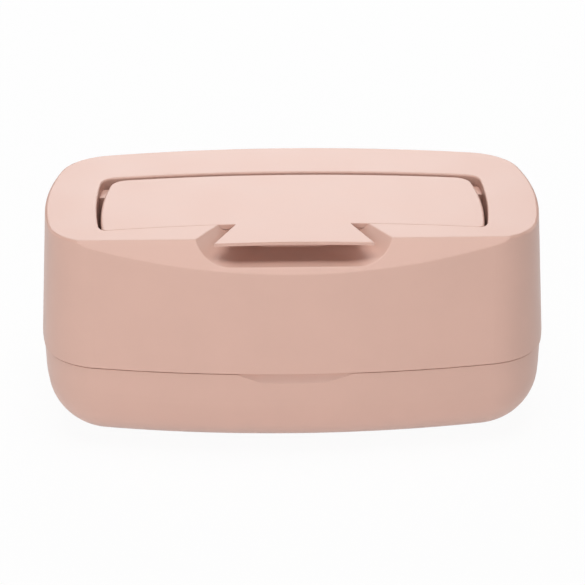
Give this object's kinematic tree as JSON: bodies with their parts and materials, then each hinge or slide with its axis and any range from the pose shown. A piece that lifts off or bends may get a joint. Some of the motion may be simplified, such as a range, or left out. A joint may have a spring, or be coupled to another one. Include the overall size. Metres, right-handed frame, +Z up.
{
  "type": "baby wipes box",
  "caption": "Lidded box for moist baby wipes: a tub, a lift-off cover with a hinged, sealed flap over a finger scoop, and a loose press plate on the stack.",
  "frame": {"origin": "on the surface that the feet stand on, under the middle of the box", "axes": "+X along the box, -Y towards the front with the finger scoop, +Z up"},
  "size_m": [0.235, 0.137, 0.101],
  "materials": {
    "shell_plastic": "matte pink, fine sheen",
    "inner_plastic": "matte pink",
    "silicone": "soft, translucent look",
    "foot_rubber": "soft matte",
    "nylon": "natural nylon",
    "pin_steel": "drawn wire",
    "weight_steel": "zinc plated bar"
  },
  "bodies": {
    "tub": {"tub": "shell_plastic", "rim_seal": "silicone", "foot_front_left": "foot_rubber", "foot_front_right": "foot_rubber", "foot_back_left": "foot_rubber", "foot_back_right": "foot_rubber"},
    "cover": {"cover": "shell_plastic", "deck": "shell_plastic", "hinge_pin_left": "pin_steel", "hinge_pin_right": "pin_steel"},
    "flap": {"flap": "shell_plastic", "flap_liner": "inner_plastic", "flap_seal": "silicone", "hinge_bush_left": "nylon", "hinge_bush_right": "nylon"},
    "press_plate": {"plate_base": "inner_plastic", "plate_cover": "inner_plastic", "plate_weight_left": "weight_steel", "plate_weight_right": "weight_steel"}
  },
  "joints": [
    {"name": "flap_hinge", "type": "hinge", "parent": "cover", "child": "flap", "pos_m": [0, 0.0135, 0.0935], "axis": [-1, 0, 0], "range_deg": [0, 104]},
    {"name": "cover_lift", "type": "slide", "parent": "tub", "child": "cover", "axis": [0, 0, 1], "range_m": [0, 0.08]},
    {"name": "plate_slide", "type": "slide", "parent": "tub", "child": "press_plate", "axis": [0, 0, 1], "range_m": [0, 0.058]}
  ]
}
